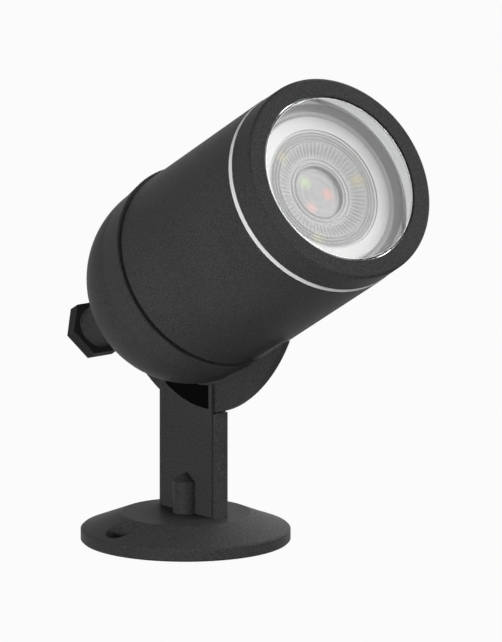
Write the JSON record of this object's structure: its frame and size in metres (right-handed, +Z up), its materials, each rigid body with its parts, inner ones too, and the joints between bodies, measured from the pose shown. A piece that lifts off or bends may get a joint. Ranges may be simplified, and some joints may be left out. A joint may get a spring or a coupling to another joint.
{
  "type": "landscape spotlight",
  "caption": "Outdoor spotlight with a bullet-shaped head behind a glazed front ring, tilting on a slotted fin in a blade stem that swivels on a round screw-down base.",
  "frame": {"origin": "centre of the base plate's underside, on the axis that the stem swivels about", "axes": "+Z up from the base, the head points to -Y, the cable gland is on the -X side of the back"},
  "size_m": [0.0688, 0.1356, 0.1594],
  "materials": {
    "powder_coat": "fine-grain matt black powder coat on cast aluminium",
    "powder_coat_base": "fine-grain matt black powder coat on cast zinc",
    "black_nylon": "moulded matt black nylon",
    "black_steel": "blackened steel",
    "zinc_steel": "bright zinc-plated steel",
    "rubber_black": "matt black rubber",
    "silicone_white": "satin white silicone",
    "clear_glass": "clear polished tempered glass",
    "silver_plastic": "satin pale grey plastic",
    "lamp_white": "satin white plastic",
    "lens_clear": "frosted clear plastic",
    "board_white": "white solder mask",
    "led_phosphor": "yellow phosphor",
    "plate_alloy": "plain rolled aluminium sheet",
    "brass": "plain brass",
    "ceramic": "unglazed white ceramic",
    "block_plastic": "translucent white plastic"
  },
  "bodies": {
    "base": {"base_plate": "powder_coat_base"},
    "stem": {"stem": "powder_coat", "base_screw": "zinc_steel", "base_washer": "zinc_steel", "clamp_shoe": "black_nylon", "clamp_bolt": "black_steel", "clamp_washer": "black_steel"},
    "head": {"rear_cup": "powder_coat", "gland_seal": "rubber_black", "housing_tube": "powder_coat", "rear_o_ring": "rubber_black", "seal_ring": "silicone_white", "lamp_holder": "ceramic", "holder_contacts": "brass", "holder_plate": "plate_alloy", "plate_screws": "zinc_steel", "holder_screws": "zinc_steel", "terminal_block": "block_plastic", "terminal_screws": "brass"},
    "bezel": {"front_bezel": "powder_coat", "cover_glass": "clear_glass", "glass_gasket": "silicone_white", "lamp_sleeve": "silver_plastic"},
    "gland": {"gland_nut": "black_nylon"},
    "lamp": {"lamp_body": "lamp_white", "lamp_board": "board_white", "lamp_leds": "led_phosphor", "lamp_lens": "lens_clear", "lamp_pins": "brass"}
  },
  "joints": [
    {"name": "stem_swivel", "type": "hinge", "parent": "base", "child": "stem", "pos_m": [0, 0, 0.009], "axis": [0, 0, 1], "continuous": true},
    {"name": "head_tilt", "type": "hinge", "parent": "stem", "child": "head", "pos_m": [0, -0.0029, 0.085], "axis": [-1, 0, 0], "range_deg": [-20, 58]},
    {"name": "bezel_turn", "type": "hinge", "parent": "head", "child": "bezel", "pos_m": [0, -0.07133, 0.12644], "axis": [0, -0.8554, 0.518], "continuous": true},
    {"name": "gland_turn", "type": "hinge", "parent": "head", "child": "gland", "pos_m": [-0.0122, 0.03097, 0.06449], "axis": [0, -0.8554, 0.518], "continuous": true},
    {"name": "lamp_twist", "type": "hinge", "parent": "head", "child": "lamp", "pos_m": [0, -0.02856, 0.10054], "axis": [0, -0.8554, 0.518], "range_deg": [0, 18]}
  ]
}
